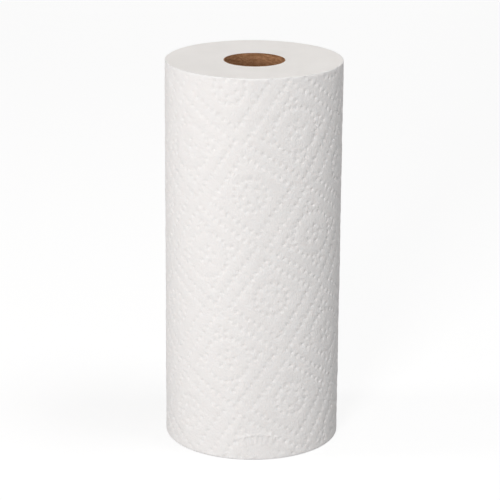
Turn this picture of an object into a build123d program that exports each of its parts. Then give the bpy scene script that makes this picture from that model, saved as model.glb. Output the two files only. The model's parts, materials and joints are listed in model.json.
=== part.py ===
from build123d import *
import math
import os

# Kitchen paper towel roll: one long perforated sheet wound on a cardboard tube. It stands on its end.
# Millimetres. +Z runs up the tube, the origin is the centre of the base, and -Y is the front.

# The roll
sheet_width = 279.4         # height of the roll
roll_diameter = 126.1       # across the last turn
sheet_thickness = 0.578     # one turn of the embossed two-ply sheet, as wound
sheet_length = 223.5        # from one perforation to the next
rim_bevel = 0.9             # the soft edge left by the saw, at both ends

# The tube
core_bore = 42.3            # clear hole
core_wall = 0.6             # two plies of board, glued
core_clearance = 0.1        # between the tube and the first turn

# The loose end
tail_angle = 169.0          # where the last sheet's cut edge lies, out of sight at the left

# The emboss: small and large diamonds in turn, left raised between pressed bands
diamond_height = 0.35       # over the bands
small_diamond = 41.3        # side
large_diamond = 51.0
row_step = Vector(48.1, -31.75)     # from a small diamond to the large one down to its right
column_step = Vector(-32.4, -44.5)  # from a small diamond to the large one down to its left
first_diamond = Vector(108.6, 197.9)    # a small one: round from the cut edge, and up from the base

# The perforations between the last two sheets
slit_pitch = 11.0
slit_length = 8.0
slit_width = 1.1
slit_depth = 0.7            # through the last turn

# The turns that show on each end, as one spiral groove
shown_turns = 3
end_margin = 3.0            # plain ring inside the outer edge and round the tube
turn_groove_width = 0.5
turn_groove_depth = 0.35

# Worked out from the sizes above
on_base = (Align.CENTER, Align.CENTER, Align.MIN)
roll_radius = roll_diameter / 2
roll_girth = math.pi * roll_diameter
tail_radius = roll_radius + sheet_thickness / 2
core_radius = core_bore / 2 + core_wall
wound_bore_radius = core_radius + core_clearance
block_start = 0.75 * roll_radius    # from the axis to the blocks that keep the diamonds
block_length = 0.4 * roll_radius
edge_share = 0.6            # of its side: how far off the sheet a diamond's centre may lie
ample = 2 * (roll_diameter + sheet_width)   # more than the roll in every direction


def along(angle, distance):
    """A point in the base plane at this angle and distance from the roll's axis."""
    return Vector(distance, 0).rotate(Axis.Z, angle)


def angle_round(length):
    """The angle that a length of the last turn reaches from the cut edge."""
    return tail_angle + math.degrees(length / roll_radius)


def quarters(outside, pitch, turns, start):
    """The quarter arcs of a spiral wound inwards from the angle `start`: centre, radius and first angle.

    Each arc is a quarter pitch tighter than the last, about the next corner of a small square, so that the
    arcs run on smoothly.
    """
    step = pitch / 4
    centre = -(along(start + 90, step) + along(start + 180, step)) / 2
    arcs = []
    for quarter in range(4 * turns):
        angle = start + 90 * quarter
        arcs.append((centre, outside - (quarter + 0.5) * step, angle))
        centre += along(angle + 90, step)
    return arcs


def spiral(outside, pitch, turns, start):
    """The same spiral as curves in the base plane."""
    return [CenterArc(centre, radius, angle, 90) for centre, radius, angle in
            quarters(outside, pitch, turns, start)]


def wound_body(outside, bevel=0):
    """The roll's whole bulk, each quarter turned about the centre of its stretch of the last turn."""
    parts = []
    for centre, radius, angle in quarters(outside, sheet_thickness, 1, tail_angle):
        side = Rectangle(radius, sheet_width, align=(Align.MIN, Align.MIN))
        if bevel:
            side = chamfer(side.vertices().group_by(Axis.X)[-1], bevel)
        cut = Plane(origin=centre, x_dir=along(angle, 1), z_dir=along(angle - 90, 1))
        parts.append(revolve(cut * side, Axis(centre, (0, 0, 1)), 90))
    first, *others = parts
    return first.fuse(*others)


def turn_groove():
    """A shallow spiral groove in the base plane, for the edges of the turns."""
    outside = roll_radius - end_margin
    inside = wound_bore_radius + end_margin
    pitch = (outside - inside) / shown_turns
    outer_line = spiral(outside, pitch, shown_turns, tail_angle)
    inner_line = spiral(outside - turn_groove_width, pitch, shown_turns, tail_angle)
    starts = Line(outer_line[0] @ 0, inner_line[0] @ 0)
    ends = Line(outer_line[-1] @ 1, inner_line[-1] @ 1)
    ribbon = make_face([*outer_line, ends, *inner_line, starts])
    return extrude(ribbon, turn_groove_depth)


def diamond_corners(side):
    """The corners of a diamond about its own centre, as they lie on the curved roll seen straight on."""
    row = row_step.normalized() * side / 2
    column = column_step.normalized() * side / 2
    flat = [row + column, row - column, -row - column, column - row]
    return [(roll_radius * math.sin(c.X / roll_radius), c.Y) for c in flat]


def diamond_block(place, side):
    """A diamond-shaped block through the roll's surface, within the last turn's own length of sheet."""
    angle = angle_round(place.X)
    outwards = along(angle, 1)
    plane = Plane(origin=outwards * block_start + (0, 0, place.Y), x_dir=along(angle + 90, 1), z_dir=outwards)
    corners = diamond_corners(side)
    block = extrude(plane * make_face(Polyline(*corners, close=True)), block_length)
    reach = max(x for x, y in corners)
    at_start = place.X < reach
    at_end = place.X > roll_girth - reach
    if at_start or at_end:
        from_seam = Box(ample, ample, ample, align=(Align.MIN, Align.MIN if at_start else Align.MAX, Align.CENTER))
        block = block & Location((0, 0, 0), (0, 0, tail_angle)) * from_seam
    return block


def diamond_places():
    """Where each diamond of the last turn lies on the flat sheet, with its side."""
    down = row_step + column_step
    right = row_step - column_step
    span = math.ceil((roll_girth + sheet_width) / min(down.length, right.length))
    for i in range(-span, span + 1):
        for j in range(-span, span + 1):
            small = first_diamond + down * i + right * j
            for place, side in ((small, small_diamond), (small + row_step, large_diamond)):
                over_round = max(-place.X, place.X - roll_girth, 0)
                over_height = max(-place.Y, place.Y - sheet_width, 0)
                if max(over_round, over_height) < edge_share * side:
                    yield place, side


def pressed_bands():
    """What the emboss takes from the last turn's surface: everything but the diamonds."""
    room = sheet_thickness + diamond_height
    around = Cylinder(roll_radius + room, sheet_width, align=on_base)
    between = around - wound_body(tail_radius - diamond_height)
    return between.cut(*[diamond_block(*diamond) for diamond in diamond_places()])


def perforations():
    """The row of slits up the roll, one sheet's length round from the cut edge."""
    proud = sheet_thickness
    spread = (slit_depth + proud) / slit_depth * slit_width / 2
    notch = make_face(Polyline((roll_radius - slit_depth, 0), (roll_radius + proud, spread),
                               (roll_radius + proud, -spread), close=True))
    slit = extrude(notch, slit_length)
    count = int(sheet_width // slit_pitch)
    first = (sheet_width - (count - 1) * slit_pitch - slit_length) / 2
    turned = (0, 0, angle_round(sheet_length))
    return [Location((0, 0, first + row * slit_pitch), turned) * slit for row in range(count)]


def make_towel_roll():
    roll = wound_body(tail_radius, rim_bevel)
    roll -= Cylinder(wound_bore_radius, sheet_width, align=on_base)
    groove = turn_groove()
    top_groove = Location((0, 0, sheet_width - turn_groove_depth)) * groove
    return roll.cut(pressed_bands(), groove, top_groove, *perforations())


def make_core_tube():
    tube = Cylinder(core_radius, sheet_width, align=on_base)
    return tube - Cylinder(core_bore / 2, sheet_width, align=on_base)


os.makedirs("parts", exist_ok=True)
export_step(make_towel_roll(), "parts/towel_roll.step")
export_step(make_core_tube(), "parts/core_tube.step")
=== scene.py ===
import json
import math

import bpy
import numpy as np
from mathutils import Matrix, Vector, kdtree, noise
from mathutils.geometry import delaunay_2d_cdt


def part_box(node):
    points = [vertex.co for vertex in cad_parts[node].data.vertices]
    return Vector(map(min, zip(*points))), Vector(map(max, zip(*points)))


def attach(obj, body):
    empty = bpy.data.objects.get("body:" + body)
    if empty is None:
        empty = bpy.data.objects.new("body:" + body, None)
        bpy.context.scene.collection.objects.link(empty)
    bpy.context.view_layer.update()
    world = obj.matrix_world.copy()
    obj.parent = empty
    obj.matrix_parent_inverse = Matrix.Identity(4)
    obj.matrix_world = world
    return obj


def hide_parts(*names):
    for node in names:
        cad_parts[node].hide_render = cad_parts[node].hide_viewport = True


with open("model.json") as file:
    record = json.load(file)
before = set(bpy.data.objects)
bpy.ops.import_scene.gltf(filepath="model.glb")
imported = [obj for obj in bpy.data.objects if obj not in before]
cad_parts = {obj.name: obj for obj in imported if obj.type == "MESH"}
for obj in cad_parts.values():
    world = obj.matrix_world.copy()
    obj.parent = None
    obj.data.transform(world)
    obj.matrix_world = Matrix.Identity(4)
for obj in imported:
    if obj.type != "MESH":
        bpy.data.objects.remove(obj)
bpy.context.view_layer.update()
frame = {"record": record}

# A roll of embossed kitchen paper on its cardboard tube. Lengths are millimetres, made metres where a mesh,
# a node tree or the camera takes them. The floor and the lamps are in metres.
MM = 0.001

# The roll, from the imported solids. The four sides of the last turn lie at 180, 270, 360 and 450 degrees,
# and the paper loses one thickness of radius per turn, anticlockwise from the cut edge.
roll_low, roll_high = (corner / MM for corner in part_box("towel_roll"))
tube_low, tube_high = (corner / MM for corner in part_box("core_tube"))
bore = next(m for m in frame["record"]["mounts"] if m["name"] == "core_bore")
HEIGHT = roll_high.z
TURN = 0.578                                  # thickness of one turn of the sheet
TAIL = math.radians(169.0)                    # the cut edge of the last sheet
MEAN_SIDE = math.radians(315.0)               # the mean of those four angles
MEAN_RADIUS = (roll_high.x - roll_low.x + roll_high.y - roll_low.y) / 4
TAIL_RADIUS = MEAN_RADIUS + TURN * (MEAN_SIDE - TAIL) / math.tau
ONE_TURN = math.tau * MEAN_RADIUS             # length of the last turn
FRONT = math.radians(270.0)
FRONT_LENGTH = (FRONT - TAIL) * MEAN_RADIUS   # from the cut edge to the middle of the front
SHEET_LENGTH = 223.5                          # from the cut edge to the first perforation
TUBE_OUTSIDE = (tube_high.x - tube_low.x) / 2
TUBE_INSIDE = bore["dims"]["r_mm"]
PAPER_TO_TUBE = 0.05                          # the first turn is glued round the tube
WOUND_INSIDE = TUBE_OUTSIDE + PAPER_TO_TUBE

# The soft ends of the roll
RIM_ROUND = 0.9                               # the outer turns lean in over this width
LIP = 0.45                                    # how far the gap between two turns can be seen into

# The emboss: diamonds of dots with dotted rings in them, repeated on a leaning lattice.
# Places are millimetres to the right and upwards along the sheet.
PIT_DEPTH = 0.6                               # of a pressed dot, a round dip that fades out
PIT_RADIUS = 1.2
PIT_MEAN_SHARE = 0.92                         # of that depth, on average
PIT_UNEVEN = (17.0, 0.2, 3.0)                 # how far apart, by what share and with what seed it varies
SKIRT_SHARE = 0.2                             # of the depth: the wide hollow that joins a row of dots
SKIRT_RADIUS = 2.4
PIT_REACH = 5.0                               # a dot isn't felt past this
PIT_RINGS = ((0.0, 1), (0.6, 6), (1.2, 11))   # mesh points in a dot: radius, and how many round it
PIT_ROOM = 0.8                                # the turns behind stay this much clear for the dots
PIT_MARGIN = 2.0                              # but not so near the edges
DIAMOND_RISE = 0.14                           # over the bands between the diamonds
DIAMOND_SLOPE = (-2.0, 1.0)                   # where it starts and ends, inwards from the row of dots
ROW_STEP = np.array((48.1, -31.75))           # from a small diamond's centre to the next large one, one way
COLUMN_STEP = np.array((-32.4, -44.5))        # and the other way
ALONG_ROW = ROW_STEP / np.linalg.norm(ROW_STEP)
ALONG_COLUMN = COLUMN_STEP / np.linalg.norm(COLUMN_STEP)
REPEAT_DOWN = ROW_STEP + COLUMN_STEP          # from a small diamond's centre to the next small one
REPEAT_RIGHT = ROW_STEP - COLUMN_STEP
REPEATS_DOWN = range(-5, 6)                   # enough of them to cover the last turn
REPEATS_RIGHT = range(-4, 7)
FIRST_SMALL = np.array((FRONT_LENGTH - 1.2, HEIGHT - 83.6))
SMALL_DIAMOND = dict(side=41.7, gaps=8)
LARGE_DIAMOND = dict(side=51.7, gaps=10)
DOTS_START = 1.0                              # after the cut edge
DOTS_PAST = 2.0                               # and on under that edge
DOTS_MARGIN = 0.5                             # from the roll's ends

# Rings of dots: radius, number of dots and the first one's angle in degrees
SMALL_RINGS = ((11.7, 15, 16.3), (6.1, 5, 45.0))
LARGE_RINGS = ((16.5, 22, 9.0), (5.9, 5, 10.0), (0.0, 1, 0.0))
# Dots in the corners beyond the large ring: distance from the centre, and degrees from the corner's line
CORNER_DOTS = ((24.4, 0.0), (21.0, 10.0), (21.0, -10.0))

# How far the pattern strays from its even lattice, along and up. It is fitted to the front of the roll, and
# that it comes twice a turn is a choice.
WANDER = np.array((0.75, 1.45))
WANDERS_PER_TURN = 2
WANDER_CRESTS = np.array((FRONT_LENGTH - 80.2, FRONT_LENGTH + 22.9))

# The paper's soft unevenness: size, height and seed
CRUMPLES = ((3.0, 0.16, 2.0), (7.0, 0.14, 4.0), (30.0, 0.14, 1.0))

# The pressed crease near the bottom of the front, an arc seen on the flat sheet
CREASE_CENTRE = np.array((FRONT_LENGTH + 5.9, -18.8))
CREASE_RADIUS = 38.0
CREASE_HALF_ANGLE = math.radians(28.0)
CREASE_FADE = (0.75, 1.0)                     # shares of that angle between which it runs out
CREASE_HEIGHT = 0.3
CREASE_WIDTH = 0.6
WRINKLE_HEIGHT = 0.22
WRINKLE_RATE = 1.26                           # radians of their wave for each millimetre along the fold
WRINKLE_DRIFT = (2.0, 8.5)                    # how far that wave runs ahead, and how fast that changes
WRINKLE_REACH = (0.2, 1.2, 4.0, 9.5)          # inwards from the fold: start, full, fading and gone
HOLLOW_DEPTH = 0.05
HOLLOW_REACH = (0.2, 2.0, 14.0, 20.0)         # the same for the hollow under the fold
HOLLOW_FLATTENS = 0.85                        # this share of the emboss is pressed out in the hollow

# The perforation and the loose edge
SLIT_PITCH = 11.0
SLIT_LENGTH = 8.0
SLIT_DEPTH = 0.4
SLIT_WIDTH = 0.35                             # to each side
SLIT_END = 0.5                                # each slit fades out over this length
BOND_DEPTH = 0.12                             # of the dented line that runs on between the slits
TAIL_LIFT = 0.35                              # the loose edge stands this far off the roll
TAIL_LIFT_REACH = 9.0                         # and lies down again over this length

# How close the mesh points of the last turn lie, and how far they keep from what they are beside
SHEET_SEED = 7                                # for the points' small random shifts
BORDER_STEP = 1.3
RIM_STEP = 1.15
RIM_ROWS = 6
RIM_SHIFT = 0.5                               # of every other row
RIM_GAPS = (0.5, 0.3)                         # before the first and after the last point of a row
LINE_STEP = 0.9                               # up the cut edge and up the perforation
CUT_EDGE_LINES = (0.0, 0.35)                  # where those upright lines of points stand
SLIT_LINES = (-0.42, -0.18, 0.0, 0.18, 0.42)
FILL_STEP = 1.5
FILL_JITTER = 0.2
FILL_GAPS = (1.6, 1.0)                        # after the cut edge and before the sheet's end
FILL_RIM_GAPS = (1.0, 0.8)                    # above the lower rim and below the upper one
FILL_DOT_GAP = 0.5
FILL_SLIT_GAP = 1.2
DOT_EDGE_GAP = 0.6                            # a dot's own points, from the sheet's edges
DOT_SLIT_GAP = 0.75
RIM_GAP = 0.4                                 # from the rims, for the dots' points and the upright lines
CREASE_STEP = 0.75
CREASE_BAND = (-1.5, 9.0)                     # inwards from the fold
CREASE_RIM_GAP = 0.5
SHEET_PAST = 2.5                              # the sheet goes on this far under its own cut edge
INNER_COLUMNS, INNER_ROWS = 64, 24            # on the plain inner face
SAME_POINT = 1e-5                             # flat points closer than this are one

# The end faces and the tube
POINTS_PER_TURN = 96
POINTS_ACROSS_TURN = 5
POINTS_ACROSS_PLY = 61
WELD = 0.004                                  # points of a wound strip closer than this are one
SLIVER = 1e-12                                # square metres: faces left by the welding
END_DISH = 0.8                                # both ends are this much lower at the tube than at the rim
EDGE_DEPTH = 0.24                             # between two turns, on the sawn ends
EDGE_UNEVEN = 0.2
EDGE_WAVES = 160.0                            # in a metre
EDGE_WAVE_DETAIL = 2.0
EDGE_WAVE_SHIFT = 0.35                        # moves the waves on from turn to turn
PLIES_MEET = 0.65                             # a turn's height between its two plies, as a share of theirs
PLY_RISE = 96.0                               # the tube's board climbs this far in one turn
SEAM_DEPTH = 0.22
SEAM_WIDTH = 0.9
SEAM_END_GAP = 0.001                          # the seam stops just short of the tube's ends


# Node trees

class Tree:
    """Adds nodes to a node tree, with their values and links given in one call."""

    def __init__(self, tree):
        self.tree = tree

    def put(self, socket, value):
        """Links a socket to another one, or gives it a plain value."""
        if isinstance(value, bpy.types.NodeSocket):
            self.tree.links.new(value, socket)
        else:
            socket.default_value = value

    def add(self, kind, *values, **settings):
        """A node. Plain settings are its properties, and values go into its first sockets."""
        node = self.tree.nodes.new(kind)
        named = settings.pop("sockets", {})
        for name, value in settings.items():
            setattr(node, name, value)
        for socket, value in zip(node.inputs, values):
            self.put(socket, value)
        for name, value in named.items():
            self.put(node.inputs[name], value)
        return node

    def maths(self, operation, *values):
        return self.add("ShaderNodeMath", *values, operation=operation).outputs[0]

    def plus(self, *values):
        return self.maths("ADD", *values)

    def minus(self, *values):
        return self.maths("SUBTRACT", *values)

    def times(self, *values):
        return self.maths("MULTIPLY", *values)

    def least(self, *values):
        return self.maths("MINIMUM", *values)

    def most(self, *values):
        return self.maths("MAXIMUM", *values)

    def squared_sine(self, angle):
        return self.maths("POWER", self.maths("SINE", angle), 2.0)

    def clouds(self, place, scale, detail):
        """Soft random shades, with how many lie in a metre, and how rough they are."""
        sockets = {"Vector": place, "Scale": scale, "Detail": detail}
        return self.add("ShaderNodeTexNoise", sockets=sockets).outputs[0]

    def stretched(self, place, *scale):
        return self.add("ShaderNodeMapping", place, sockets={"Scale": scale}).outputs[0]

    def blend(self, share, first, second):
        """A colour between two others. The mix node's colour sockets are inputs 6 and 7 and output 2."""
        mix = self.add("ShaderNodeMix", data_type="RGBA", sockets={"Factor": share})
        self.put(mix.inputs[6], first)
        self.put(mix.inputs[7], second)
        return mix.outputs[2]

    def bump(self, height, strength, distance):
        sockets = {"Strength": strength, "Distance": distance, "Height": height}
        return self.add("ShaderNodeBump", sockets=sockets).outputs[0]

    def seen(self):
        """1 for what is seen, straight, in a reflection or through glass, and 0 for all other light."""
        rays = self.add("ShaderNodeLightPath").outputs
        mirrored = self.most(rays["Is Glossy Ray"], rays["Is Transmission Ray"])
        return self.most(rays["Is Camera Ray"], mirrored)


# The emboss on the flat sheet

def diamond_pins(centre, side, gaps):
    """Dots along the four sides of a diamond whose sides run along the lattice."""
    steps = (np.arange(gaps) / gaps - 0.5) * side
    half = side / 2
    for step in steps:
        yield centre + ALONG_ROW * step - ALONG_COLUMN * half
        yield centre + ALONG_ROW * half + ALONG_COLUMN * step
        yield centre - ALONG_ROW * step + ALONG_COLUMN * half
        yield centre - ALONG_ROW * half - ALONG_COLUMN * step


def beside(centre, distance, angle):
    """The place at this distance and angle from another."""
    return centre + distance * np.array((math.cos(angle), math.sin(angle)))


def ring_pins(centre, rings):
    """Dots round concentric rings."""
    for radius, count, first in rings:
        for turn in range(count):
            yield beside(centre, radius, math.radians(first) + math.tau * turn / count)


def corner_pins(centre):
    """Three dots in each corner that the large ring leaves free."""
    start = math.atan2(REPEAT_DOWN[1], REPEAT_DOWN[0])
    for corner in range(4):
        for distance, turn in CORNER_DOTS:
            yield beside(centre, distance, start + corner * math.pi / 2 + math.radians(turn))


def wander(along):
    """How far the pattern strays from its lattice at these places along the sheet."""
    return WANDER * np.cos(WANDERS_PER_TURN * (along[:, None] - WANDER_CRESTS) / MEAN_RADIUS)


def emboss_pins():
    """Every dot on the last turn, as rows of (along the sheet, up)."""
    pins = []
    for i in REPEATS_DOWN:
        for j in REPEATS_RIGHT:
            small = FIRST_SMALL + i * REPEAT_DOWN + j * REPEAT_RIGHT
            large = small + ROW_STEP
            pins += [*diamond_pins(small, **SMALL_DIAMOND), *ring_pins(small, SMALL_RINGS)]
            pins += [*diamond_pins(large, **LARGE_DIAMOND), *ring_pins(large, LARGE_RINGS)]
            pins += corner_pins(large)
    pins = np.array(pins)
    pins += wander(pins[:, 0])
    along, up = pins.T
    on_turn = (along > DOTS_START) & (along < ONE_TURN + DOTS_PAST)
    return pins[on_turn & (up > DOTS_MARGIN) & (up < HEIGHT - DOTS_MARGIN)]


# The last turn: the sheet's path up and over its rims, and its relief

SAG_AT_LIP = math.acos(1 - TURN / RIM_ROUND)
RIM_ARC = RIM_ROUND * SAG_AT_LIP              # length of the sheet's path over a rim


def rim_path(up):
    """Height and inset this far up the sheet's own length: straight, over the rim, then down the gap."""
    top = up > HEIGHT / 2
    beyond = np.maximum(np.where(top, up - (HEIGHT - RIM_ROUND), RIM_ROUND - up), 0)
    angle = np.minimum(beyond / RIM_ROUND, SAG_AT_LIP)
    below = RIM_ROUND * (1 - np.sin(angle)) + np.maximum(beyond - RIM_ARC, 0)
    inset = RIM_ROUND * (1 - np.cos(angle))
    height = np.where(top, HEIGHT - below, below)
    height = np.where(beyond > 0, height, up)
    return height, inset


def smooth_step(edge_low, edge_high, value):
    """0 up to the lower edge, 1 from the higher one, and a soft climb between them."""
    share = np.clip((value - edge_low) / (edge_high - edge_low), 0, 1)
    return share * share * (3 - 2 * share)


def swell(start, full, fading, gone, value):
    """A soft climb from 0 to 1, and then back to 0."""
    return smooth_step(start, full, value) * (1 - smooth_step(fading, gone, value))


def rolling_noise(flat, size, seed):
    """Soft noise on the flat sheet, from -1 to 1."""
    return np.array([noise.noise(Vector((x / size, y / size, seed))) for x, y in flat])


def lattice_shares(offset, first, second):
    """How much of two directions adds up to each offset."""
    return offset @ np.linalg.inv(np.column_stack((first, second))).T


def diamond_rise(flat):
    """1 on the diamonds, falling to 0 on the bands between them."""
    flat = flat - wander(flat[:, 0])
    rise = np.zeros(len(flat))
    for first, diamond in ((FIRST_SMALL, SMALL_DIAMOND), (FIRST_SMALL + ROW_STEP, LARGE_DIAMOND)):
        steps = np.rint(lattice_shares(flat - first, REPEAT_DOWN, REPEAT_RIGHT))
        offset = flat - first - steps @ np.array((REPEAT_DOWN, REPEAT_RIGHT))
        from_centre = np.abs(lattice_shares(offset, ALONG_ROW, ALONG_COLUMN)).max(axis=1)
        rise = np.maximum(rise, smooth_step(*DIAMOND_SLOPE, diamond["side"] / 2 - from_centre))
    return rise


def crease_relief(flat):
    """The pressed arc near the bottom, a fine fold with short wrinkles under it.

    Returns its height, and how far the emboss is pressed flat there.
    """
    offset = flat - CREASE_CENTRE
    distance = np.linalg.norm(offset, axis=1)
    angle = np.arctan2(offset[:, 0], offset[:, 1])
    reach = 1 - smooth_step(*CREASE_FADE, np.abs(angle) / CREASE_HALF_ANGLE)
    inward = CREASE_RADIUS - distance
    fold = np.exp(-(inward / CREASE_WIDTH) ** 2)
    drift, drift_rate = WRINKLE_DRIFT
    wave = np.sin(angle * CREASE_RADIUS * WRINKLE_RATE + drift * np.sin(angle * drift_rate))
    wrinkles = wave * swell(*WRINKLE_REACH, inward)
    hollow = swell(*HOLLOW_REACH, inward)
    relief = CREASE_HEIGHT * fold + WRINKLE_HEIGHT * wrinkles - HOLLOW_DEPTH * hollow
    return reach * relief, reach * hollow


def slit_relief(flat):
    """The row of perforations, cut nearly through, with whole paper between the slits."""
    across = np.abs(flat[:, 0] - SHEET_LENGTH)
    along = np.abs((flat[:, 1] % SLIT_PITCH) - SLIT_PITCH / 2)
    open_here = 1 - smooth_step(SLIT_LENGTH / 2 - SLIT_END, SLIT_LENGTH / 2, along)
    groove = 1 - smooth_step(0, 1, across / SLIT_WIDTH)
    return -groove * (BOND_DEPTH + (SLIT_DEPTH - BOND_DEPTH) * open_here)


def pit_profile(distance):
    """Height beside a pressed dot, as a share of its depth: the dip, and the wider hollow round it."""
    dip = math.exp(-(distance / PIT_RADIUS) ** 2)
    return -dip - SKIRT_SHARE * math.exp(-(distance / SKIRT_RADIUS) ** 2)


def pit_relief(flat, pin_tree):
    """What all the dots near each point add up to."""
    near = (pin_tree.find_range((x, y, 0), PIT_REACH) for x, y in flat)
    return np.array([sum(pit_profile(distance) for _, _, distance in dots) for dots in near])


def sheet_relief(flat, pin_tree):
    """Height of the paper over the last turn's own surface."""
    crease, flattened = crease_relief(flat)
    size, share, seed = PIT_UNEVEN
    depth = PIT_DEPTH * (PIT_MEAN_SHARE + share * rolling_noise(flat, size, seed))
    emboss = DIAMOND_RISE * diamond_rise(flat) + depth * pit_relief(flat, pin_tree)
    relief = emboss * (1 - HOLLOW_FLATTENS * flattened)
    for size, height, seed in CRUMPLES:
        relief += height * rolling_noise(flat, size, seed)
    relief += crease + slit_relief(flat) - DIAMOND_RISE
    lifted = np.clip(1 - flat[:, 0] / TAIL_LIFT_REACH, 0, 1) ** 2
    return relief + TAIL_LIFT * lifted


def spiral_radius(angle):
    """How far the last turn's own surface lies from the axis at this angle."""
    return TAIL_RADIUS - TURN * (angle - TAIL) / math.tau


def places_round(angle, radius, height):
    """Places round the axis, as rows of x, y and z."""
    return np.column_stack((radius * np.cos(angle), radius * np.sin(angle), height))


def onto_roll(flat, relief):
    """Carries points of the flat sheet onto the last turn. Before the cut edge its path turns inwards."""
    height, inset = rim_path(flat[:, 1])
    edge = np.maximum(-flat[:, 0], 0)
    angle = TAIL + np.maximum(flat[:, 0], 0) / MEAN_RADIUS
    on_wall = 1 - np.clip(inset / TURN, 0, 1)
    radius = spiral_radius(angle) - inset - edge * on_wall + relief * on_wall
    return places_round(angle, radius, height)


def border(along_start, along_end, up_start, up_end):
    """Points round the edge of the flat sheet, in order."""
    across = np.linspace(along_start, along_end, round((along_end - along_start) / BORDER_STEP) + 1)
    upwards = np.linspace(up_start, up_end, round((up_end - up_start) / BORDER_STEP) + 1)
    lower = [(x, up_start) for x in across[:-1]]
    right = [(along_end, y) for y in upwards[:-1]]
    upper = [(x, up_end) for x in across[:0:-1]]
    left = [(along_start, y) for y in upwards[:0:-1]]
    return lower + right + upper + left


def rim_rows(along_end):
    """Rows of points where the sheet bends over its two rims."""
    rows = []
    before, after = RIM_GAPS
    for number, beyond in enumerate(np.linspace(0, RIM_ARC, RIM_ROWS)):
        shift = RIM_SHIFT * (number % 2)
        places = np.arange(before + shift, along_end - after, RIM_STEP)
        rows += [(x, HEIGHT - RIM_ROUND + beyond) for x in places]
        rows += [(x, RIM_ROUND - beyond) for x in places]
    return rows


def dot_points(pins, along_end, up_start, up_end, rng):
    """Rings of points round each dot, so that its hollow is round, clear of the edges and the slits."""
    rows = []
    for x, y in pins:
        start = rng.uniform(0, math.tau)
        for number, (radius, count) in enumerate(PIT_RINGS):
            for turn in range(count):
                angle = start + math.tau * (turn + 0.5 * (number % 2)) / count
                rows.append((x + radius * math.cos(angle), y + radius * math.sin(angle)))
    rows = np.array(rows)
    along, up = rows.T
    on_sheet = (along > DOT_EDGE_GAP) & (along < along_end - DOT_EDGE_GAP) & (up > up_start) & (up < up_end)
    clear_of_slits = np.abs(along - SHEET_LENGTH) > DOT_SLIT_GAP
    return list(map(tuple, rows[on_sheet & clear_of_slits]))


def line_rows(places, up_start, up_end):
    """Upright rows of points beside a straight line on the sheet."""
    rows = []
    for number, x in enumerate(places):
        shift = 0.5 * LINE_STEP * (number % 2)
        rows += [(x, y) for y in np.arange(up_start + shift, up_end, LINE_STEP)]
    return rows


def fill_points(along_end, pin_tree, rng):
    """Points on a loose grid of triangles over what the dots and the slits leave free."""
    rows = []
    row_height = FILL_STEP * math.sqrt(3) / 2
    above, below = FILL_RIM_GAPS
    after, before = FILL_GAPS
    for number, y in enumerate(np.arange(RIM_ROUND + above, HEIGHT - RIM_ROUND - below, row_height)):
        shift = 0.5 * FILL_STEP * (number % 2)
        for x in np.arange(after + shift, along_end - before, FILL_STEP):
            place = x + rng.uniform(-FILL_JITTER, FILL_JITTER), y + rng.uniform(-FILL_JITTER, FILL_JITTER)
            clear_of_dots = pin_tree.find((*place, 0))[2] > PIT_RINGS[-1][0] + FILL_DOT_GAP
            clear_of_slits = abs(place[0] - SHEET_LENGTH) > FILL_SLIT_GAP
            if clear_of_dots and clear_of_slits:
                rows.append(place)
    return rows


def crease_points():
    """More points where the crease and its wrinkles are."""
    rows = []
    centre_along, centre_up = CREASE_CENTRE
    for inward in np.arange(*CREASE_BAND, CREASE_STEP):
        radius = CREASE_RADIUS - inward
        for angle in np.arange(-CREASE_HALF_ANGLE, CREASE_HALF_ANGLE, CREASE_STEP / radius):
            rows.append((centre_along + radius * math.sin(angle), centre_up + radius * math.cos(angle)))
    return [(x, y) for x, y in rows if y > RIM_ROUND + CREASE_RIM_GAP]


def tree_of(points):
    """A tree that finds the nearest of these flat points."""
    tree = kdtree.KDTree(len(points))
    for number, (x, y) in enumerate(points):
        tree.insert((x, y, 0), number)
    tree.balance()
    return tree


def triangles(points):
    """The triangles between flat points."""
    return delaunay_2d_cdt([Vector(p) for p in points], [], [], 0, SAME_POINT)[2]


def make_mesh(name, points, faces, material, flat=None):
    """A smooth mesh object at the origin, from points in millimetres."""
    mesh = bpy.data.meshes.new(name)
    mesh.from_pydata((np.asarray(points) * MM).tolist(), [], [list(f) for f in faces])
    mesh.update()
    mesh.shade_smooth()
    mesh.materials.append(material)
    if flat is not None:
        corners = np.zeros(len(mesh.loops), np.int32)
        mesh.loops.foreach_get("vertex_index", corners)
        layer = mesh.uv_layers.new(name="flat_sheet")
        layer.data.foreach_set("uv", (np.asarray(flat)[corners] * MM).astype(np.float32).ravel())
    piece = bpy.data.objects.new(name, mesh)
    bpy.context.scene.collection.objects.link(piece)
    return piece


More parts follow.
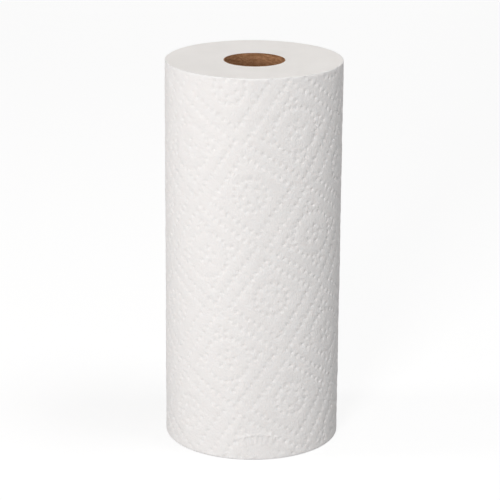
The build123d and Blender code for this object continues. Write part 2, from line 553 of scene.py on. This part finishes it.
def make_outer_sheet(material):
    """The last turn as one closed sheet: embossed face, rims, cut edge and a plain inner face."""
    rng = np.random.default_rng(SHEET_SEED)
    pins = emboss_pins()
    pin_tree = tree_of(pins)
    along_end = ONE_TURN + SHEET_PAST
    over = RIM_ARC - RIM_ROUND + LIP
    edge_points = border(-TURN, along_end, -over, HEIGHT + over)
    wall = RIM_ROUND + RIM_GAP, HEIGHT - RIM_ROUND - RIM_GAP
    points = [*edge_points, *rim_rows(along_end), *dot_points(pins, along_end, *wall, rng)]
    points += line_rows(CUT_EDGE_LINES, *wall)
    points += line_rows([SHEET_LENGTH + offset for offset in SLIT_LINES], *wall)
    points += fill_points(along_end, pin_tree, rng)
    points += crease_points()
    points = np.array(points)
    faces = list(triangles(points))

    # The inner face shares the edge's points, and its own come after the embossed face's
    inner_grid = [(x, y) for x in np.linspace(PIT_MARGIN, along_end - PIT_MARGIN, INNER_COLUMNS)
                  for y in np.linspace(PIT_MARGIN, HEIGHT - PIT_MARGIN, INNER_ROWS)]
    shared = len(edge_points)
    index = [*range(shared), *range(len(points), len(points) + len(inner_grid))]
    for face in triangles(edge_points + inner_grid):
        faces.append([index[i] for i in reversed(face)])
    inner_grid = np.array(inner_grid)
    angle = TAIL + inner_grid[:, 0] / MEAN_RADIUS
    inner_places = places_round(angle, spiral_radius(angle) - TURN - PIT_ROOM, inner_grid[:, 1])

    places = np.vstack((onto_roll(points, sheet_relief(points, pin_tree)), inner_places))
    return make_mesh("outer_sheet", places, faces, material, np.vstack((points, inner_grid)))


# Materials

TISSUE_TONES = (0.845, 0.828, 0.82, 1), (0.895, 0.877, 0.869, 1)
FIBRE_SHARE = 0.3                             # how much the fibres roughen the sheet beside the crepe
SAWN_TONES = (0.85, 0.825, 0.8, 1), (0.905, 0.88, 0.855, 1)
BOARD_TONES = (0.32, (0.23, 0.111, 0.05, 1)), (0.72, (0.44, 0.231, 0.119, 1))
FLECK_TONE = (0.5, 0.32, 0.19, 1)
FLECK_RANGE = (0.56, 0.68, 0.0, 0.35)         # from and to in their noise, and how much tone they bring


def matt_finish(name, roughness):
    """A matt finish, with its node tree and its shader."""
    material = bpy.data.materials.new(name)
    material.use_nodes = True
    shader = material.node_tree.nodes["Principled BSDF"]
    shader.inputs["Roughness"].default_value = roughness
    shader.inputs["Specular IOR Level"].default_value = 0.15
    return material, Tree(material.node_tree), shader


def make_tissue():
    """White absorbent paper: cloudy, with a fine crepe across the sheet and soft fibres."""
    material, tree, shader = matt_finish("embossed_tissue", roughness=0.95)
    flat = tree.add("ShaderNodeUVMap", uv_map="flat_sheet").outputs[0]
    crepe = tree.clouds(tree.stretched(flat, 1.0, 0.6, 1.0), scale=900.0, detail=3.0)
    fibre = tree.clouds(flat, scale=2600.0, detail=4.0)
    tone = tree.blend(tree.clouds(flat, scale=90.0, detail=5.0), *TISSUE_TONES)
    tree.put(shader.inputs["Base Color"], tone)
    grain = tree.plus(crepe, tree.times(fibre, FIBRE_SHARE))
    tree.put(shader.inputs["Normal"], tree.bump(grain, strength=0.62, distance=0.85 * MM))
    shader.inputs["Subsurface Weight"].default_value = 0.15
    shader.inputs["Subsurface Scale"].default_value = 1.2 * MM
    shader.inputs["Subsurface Radius"].default_value = (1.0, 0.9, 0.85)
    return material


def make_sawn_edges():
    """The ends of the turns: paper of a warmer white, with torn fibres."""
    material, tree, shader = matt_finish("sawn_paper_edges", roughness=1.0)
    place = tree.add("ShaderNodeTexCoord").outputs["Object"]
    tone = tree.blend(tree.clouds(place, scale=55.0, detail=4.0), *SAWN_TONES)
    tree.put(shader.inputs["Base Color"], tone)
    fuzz = tree.clouds(place, scale=1900.0, detail=4.0)
    tree.put(shader.inputs["Normal"], tree.bump(fuzz, strength=0.6, distance=0.15 * MM))
    return material


def make_board():
    """Brown board: pressed fibres that run round the tube, with lighter flecks."""
    material, tree, shader = matt_finish("core_board", roughness=0.85)
    place = tree.add("ShaderNodeTexCoord").outputs["Object"]
    streaks = tree.clouds(tree.stretched(place, 1.0, 1.0, 3.5), scale=260.0, detail=6.0)
    flecks = tree.clouds(place, scale=1300.0, detail=3.0)
    ramp = tree.add("ShaderNodeValToRGB", streaks)
    for element, (position, tone) in zip(ramp.color_ramp.elements, BOARD_TONES):
        element.position = position
        element.color = tone
    speck = tree.add("ShaderNodeMapRange", flecks, *FLECK_RANGE).outputs[0]
    tree.put(shader.inputs["Base Color"], tree.blend(speck, ramp.outputs[0], FLECK_TONE))
    grain = tree.plus(streaks, flecks)
    tree.put(shader.inputs["Normal"], tree.bump(grain, strength=0.4, distance=0.12 * MM))
    return material


# The turns behind the last one, and the tube

def wound_strip(name, turns, rows, place_points, material):
    """A strip wound many times round the roll's axis, made by a node tree, as its points and faces.

    place_points gets the tree, the turns made so far and the share across, and returns x, y and z.
    """
    group = bpy.data.node_groups.new(name, "GeometryNodeTree")
    group.interface.new_socket("Geometry", in_out="OUTPUT", socket_type="NodeSocketGeometry")
    turns_in = group.interface.new_socket("Turns", in_out="INPUT", socket_type="NodeSocketFloat")
    columns_in = group.interface.new_socket("Points along", in_out="INPUT", socket_type="NodeSocketInt")
    rows_in = group.interface.new_socket("Points across", in_out="INPUT", socket_type="NodeSocketInt")
    tree = Tree(group)
    inputs = tree.add("NodeGroupInput").outputs
    grid = tree.add("GeometryNodeMeshGrid", 1.0, 1.0, inputs["Points along"], inputs["Points across"])
    place = tree.add("ShaderNodeSeparateXYZ", tree.add("GeometryNodeInputPosition").outputs[0]).outputs
    share_along = tree.plus(place["X"], 0.5)
    share_across = tree.plus(place["Y"], 0.5)
    revolutions = tree.times(share_along, inputs["Turns"])
    position = tree.add("ShaderNodeCombineXYZ", *place_points(tree, revolutions, share_across)).outputs[0]
    moved = tree.add("GeometryNodeSetPosition", sockets={"Geometry": grid.outputs[0], "Position": position})
    welded = tree.add("GeometryNodeMergeByDistance",
                      sockets={"Geometry": moved.outputs[0], "Distance": WELD * MM})
    real = tree.add("GeometryNodeRealizeInstances", welded.outputs[0])
    finished = tree.add("GeometryNodeSetMaterial",
                        sockets={"Geometry": real.outputs[0], "Material": material})
    tree.add("NodeGroupOutput", finished.outputs[0])
    holder = bpy.data.objects.new(name + "_strip", bpy.data.meshes.new(name + "_strip"))
    bpy.context.scene.collection.objects.link(holder)
    modifier = holder.modifiers.new(name, "NODES")
    modifier.node_group = group
    modifier[turns_in.identifier] = float(turns)
    modifier[columns_in.identifier] = round(turns * POINTS_PER_TURN) + 1
    modifier[rows_in.identifier] = rows
    evaluated = holder.evaluated_get(bpy.context.evaluated_depsgraph_get())
    mesh = bpy.data.meshes.new_from_object(evaluated)
    bpy.data.objects.remove(holder)
    points = np.zeros(len(mesh.vertices) * 3)
    mesh.vertices.foreach_get("co", points)
    faces = [tuple(p.vertices) for p in mesh.polygons if p.area > SLIVER]
    bpy.data.meshes.remove(mesh)
    return points.reshape(-1, 3) / MM, faces


def round_the_axis(tree, revolutions, radius):
    """x and y at this many revolutions from the cut edge."""
    angle = tree.plus(tree.times(revolutions, math.tau), TAIL)
    x = tree.times(radius, tree.maths("COSINE", angle))
    y = tree.times(radius, tree.maths("SINE", angle))
    return x, y


def end_face_points(tree, revolutions, across):
    """The sawn end: each turn stands as two plies with a gap beside it, and the outermost turns lean in."""
    turned = tree.plus(tree.times(revolutions, TURN * MM), tree.times(tree.plus(across, 1.0), TURN * MM))
    unwound = tree.minus(TAIL_RADIUS * MM, turned)
    radius = tree.most(unwound, WOUND_INSIDE * MM)
    x, y = round_the_axis(tree, revolutions, radius)

    # How high the sheet's edge stands over the gap beside it: 1 on its two plies, and 0 in the gap
    plies = tree.squared_sine(tree.times(across, math.tau))
    between = tree.times(tree.squared_sine(tree.times(across, math.pi)), PLIES_MEET)
    on_paper = tree.maths("GREATER_THAN", unwound, WOUND_INSIDE * MM)
    stand = tree.times(tree.most(plies, between), on_paper)
    gap = tree.times(tree.minus(1.0, stand), EDGE_DEPTH * MM)

    spot = tree.add("ShaderNodeCombineXYZ", x, y, tree.times(revolutions, EDGE_WAVE_SHIFT * MM)).outputs[0]
    waves = tree.minus(tree.clouds(spot, EDGE_WAVES, EDGE_WAVE_DETAIL), 0.5)
    uneven = tree.times(tree.minus(tree.times(waves, EDGE_UNEVEN * MM), 0.5 * EDGE_UNEVEN * MM), stand)

    # The rounded rim and the dished end
    within = tree.most(tree.minus(RIM_ROUND * MM, turned), 0.0)
    chord = tree.maths("SQRT", tree.minus((RIM_ROUND * MM) ** 2, tree.times(within, within)))
    sag = tree.minus(RIM_ROUND * MM, chord)
    from_rim = tree.minus(TAIL_RADIUS * MM, radius)
    dish = tree.times(tree.maths("DIVIDE", from_rim, (TAIL_RADIUS - WOUND_INSIDE) * MM), END_DISH * MM)
    level = tree.minus(tree.minus(HEIGHT * MM, sag), dish)
    z = tree.minus(tree.plus(level, uneven), gap)
    return x, y, z


def tube_wall_points(tree, revolutions, across):
    """The inner ply of the tube: its two edges meet in a narrow gap that climbs round the bore.

    The strip's rows lie closer together towards its two edges.
    """
    half_wave = tree.maths("COSINE", tree.times(across, math.pi))
    across = tree.minus(0.5, tree.times(half_wave, 0.5))
    climb = tree.times(tree.minus(tree.plus(revolutions, across), 1.0), PLY_RISE * MM)
    z = tree.least(tree.most(climb, END_DISH * MM), (HEIGHT - END_DISH) * MM)
    from_edge = tree.least(across, tree.minus(1.0, across))
    shut = tree.least(tree.times(from_edge, 2 * PLY_RISE / SEAM_WIDTH), 1.0)
    from_end = tree.least(z, tree.minus(HEIGHT * MM, z))
    within = tree.maths("GREATER_THAN", from_end, (END_DISH + SEAM_END_GAP) * MM)
    gap = tree.times(tree.minus(1.0, shut), within)
    radius = tree.plus(tree.times(gap, SEAM_DEPTH * MM), TUBE_INSIDE * MM)
    x, y = round_the_axis(tree, revolutions, radius)
    return x, y, z


def open_edges(faces):
    """Edges that belong to one face, in that face's direction."""
    once = {}
    for face in faces:
        for a, b in zip(face, face[1:] + face[:1]):
            if (b, a) in once:
                del once[(b, a)]
            else:
                once[(a, b)] = True
    return list(once)


def face_normal(points, face):
    """The direction of a face's area, which also holds for a face with a very short edge."""
    corners = points[list(face)]
    return np.cross(corners, np.roll(corners, -1, axis=0)).sum(axis=0)


def make_wound_turns(material):
    """All the turns behind the last one as a closed solid, with a spiral of sheet edges on each end."""
    turns = math.ceil((TAIL_RADIUS - TURN - WOUND_INSIDE) / TURN)
    points, faces = wound_strip("end_face", turns, POINTS_ACROSS_TURN, end_face_points, material)
    top = [face if face_normal(points, face)[2] > 0 else face[::-1] for face in faces]
    lower = points * (1, 1, -1) + (0, 0, HEIGHT)
    count = len(points)
    base = [tuple(i + count for i in reversed(face)) for face in top]
    edges = open_edges(top)
    rim = sorted({i for edge in edges for i in edge})
    place = {i: number for number, i in enumerate(rim)}

    # Between the two ends the outer wall draws in, to leave room for the dots
    reach = np.linalg.norm(points[rim, :2], axis=1)
    inset = np.where(reach > MEAN_RADIUS / 2, 1 - PIT_ROOM / reach, 1)
    waist = points[rim, :2] * inset[:, None]
    high = np.column_stack((waist, np.full(len(rim), HEIGHT - PIT_MARGIN)))
    low = np.column_stack((waist, np.full(len(rim), PIT_MARGIN)))
    sides = []
    for a, b in edges:
        down = [(i, 2 * count + place[i], 2 * count + len(rim) + place[i], i + count) for i in (a, b)]
        sides += [(down[1][k], down[0][k], down[0][k + 1], down[1][k + 1]) for k in range(3)]
    return make_mesh("wound_turns", np.vstack((points, lower, high, low)), [*top, *base, *sides], material)


def make_core_tube(material):
    """The cardboard tube, with its spiral seam inside and its two sawn ends."""
    turns = math.ceil(HEIGHT / PLY_RISE) + 1
    points, faces = wound_strip("tube_wall", turns, POINTS_ACROSS_PLY, tube_wall_points, material)
    inner = [f if face_normal(points, f)[:2] @ points[f[0]][:2] < 0 else f[::-1] for f in faces]
    ends = [closing_ring(points, inner, at_top) for at_top in (False, True)]
    count = len(points)
    wider = TUBE_OUTSIDE / TUBE_INSIDE
    outside = [points[ring] * (wider, wider, 1) for ring in ends]
    low, high = ends
    size = len(low)
    around = [(i, (i + 1) % size) for i in range(size)]
    base = [(low[j], low[i], count + i, count + j) for i, j in around]
    top = [(high[i], high[j], count + size + j, count + size + i) for i, j in around]
    wall = [(count + i, count + size + i, count + size + j, count + j)[::-1] for i, j in around]
    places = np.vstack((points, *outside))
    return make_mesh("core_board_tube", places, [*inner, *base, *top, *wall], material)


def closing_ring(points, faces, at_top):
    """The points on one open end, in order round the axis."""
    ring = {a for a, _ in open_edges(faces) if (points[a][2] > HEIGHT / 2) == at_top}
    return sorted(ring, key=lambda i: math.atan2(points[i][1], points[i][0]))


# Floor, light and camera

FLOOR_HALF = 6.0                              # half its side
FLOOR_GREY = (0.4, 0.4, 0.4, 1)               # for the light that it throws back on the roll
FLOOR_PALE = (0.92, 0.92, 0.92, 1)            # as it is seen
FLOOR_WHITE = 0.68                            # share of plain white in that; the rest takes the shadow
FLOOR_GLOW = 1.09                             # of that white
FILL_LIGHT = 0.33                             # from all sides
ROLL_MIDDLE = Vector((0, 0, 0.14))
LAMP_DISTANCE = 2.4


def make_floor():
    """A plain pale floor that keeps the roll's shadow."""
    corners = [(x * FLOOR_HALF, y * FLOOR_HALF, 0) for x, y in ((-1, -1), (1, -1), (1, 1), (-1, 1))]
    mesh = bpy.data.meshes.new("floor")
    mesh.from_pydata(corners, [], [(0, 1, 2, 3)])
    floor = bpy.data.objects.new("floor", mesh)
    bpy.context.scene.collection.objects.link(floor)
    material, tree, shader = matt_finish("pale_floor", roughness=0.9)
    seen = tree.seen()
    tree.put(shader.inputs["Base Color"], tree.blend(seen, FLOOR_GREY, FLOOR_PALE))
    white = tree.add("ShaderNodeEmission", (1, 1, 1, 1), FLOOR_GLOW)
    whiteness = tree.times(seen, FLOOR_WHITE)
    mix = tree.add("ShaderNodeMixShader", whiteness, shader.outputs[0], white.outputs[0])
    tree.put(material.node_tree.nodes["Material Output"].inputs["Surface"], mix.outputs[0])
    mesh.materials.append(material)


def make_world():
    """Soft even light, and a white background to the camera and in reflections."""
    world = bpy.data.worlds.new("studio")
    bpy.context.scene.world = world
    world.use_nodes = True
    world.node_tree.nodes.clear()
    tree = Tree(world.node_tree)
    fill = tree.add("ShaderNodeBackground", (1.0, 1.0, 1.0, 1), FILL_LIGHT)
    white = tree.add("ShaderNodeBackground", (1.0, 1.0, 1.0, 1), 1.0)
    mix = tree.add("ShaderNodeMixShader", tree.seen(), fill.outputs[0], white.outputs[0])
    tree.add("ShaderNodeOutputWorld", mix.outputs[0])


def area_light(name, azimuth, elevation, size, power, colour=(1, 1, 1)):
    """A square lamp that faces the roll: azimuth 0 is in front of it, and positive to the right."""
    turn, lift = math.radians(azimuth), math.radians(elevation)
    level = LAMP_DISTANCE * math.cos(lift)
    from_roll = Vector((level * math.sin(turn), -level * math.cos(turn), LAMP_DISTANCE * math.sin(lift)))
    light = bpy.data.lights.new(name, "AREA")
    light.size = size
    light.energy = power
    light.color = colour
    lamp = bpy.data.objects.new(name, light)
    lamp.location = ROLL_MIDDLE + from_roll
    lamp.rotation_euler = (ROLL_MIDDLE - lamp.location).to_track_quat("-Z", "Y").to_euler()
    bpy.context.scene.collection.objects.link(lamp)


def make_camera():
    """The photograph's camera, fitted to the outline of the roll in a frame of 500 by 500 pixels."""
    distance, height = 1480.87, 606.97
    pitch = math.radians(17.58)
    roll = 0.0077                             # radians
    focal_pixels, frame_pixels, centre_pixel = 2143.56, 500.0, 252.95
    data = bpy.data.cameras.new("camera")
    data.sensor_width = 36.0
    data.lens = focal_pixels / frame_pixels * data.sensor_width
    data.shift_x = (frame_pixels / 2 - centre_pixel) / frame_pixels
    camera = bpy.data.objects.new("camera", data)
    camera.location = (0, -distance * MM, height * MM)
    camera.rotation_euler = (math.pi / 2 - pitch, 0, 0)
    camera.rotation_euler.rotate_axis("Z", roll)
    bpy.context.scene.collection.objects.link(camera)
    bpy.context.scene.camera = camera


bpy.context.scene.view_settings.view_transform = "Standard"
make_camera()
make_world()
make_floor()
area_light("key", azimuth=-17, elevation=14, size=0.6, power=31, colour=(1.0, 0.985, 0.975))
area_light("high", azimuth=75, elevation=66, size=1.0, power=20)
area_light("left", azimuth=-85, elevation=28, size=0.6, power=13.5, colour=(1.0, 0.98, 0.965))
area_light("back", azimuth=180, elevation=20, size=1.2, power=5)

sheet = make_outer_sheet(make_tissue())
turns = make_wound_turns(make_sawn_edges())
tube = make_core_tube(make_board())
for piece, slot in ((sheet, "towel_paper"), (turns, "towel_paper"), (tube, "core_board")):
    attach(piece, "root")
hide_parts("towel_roll")
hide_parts("towel_roll")
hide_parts("core_tube")
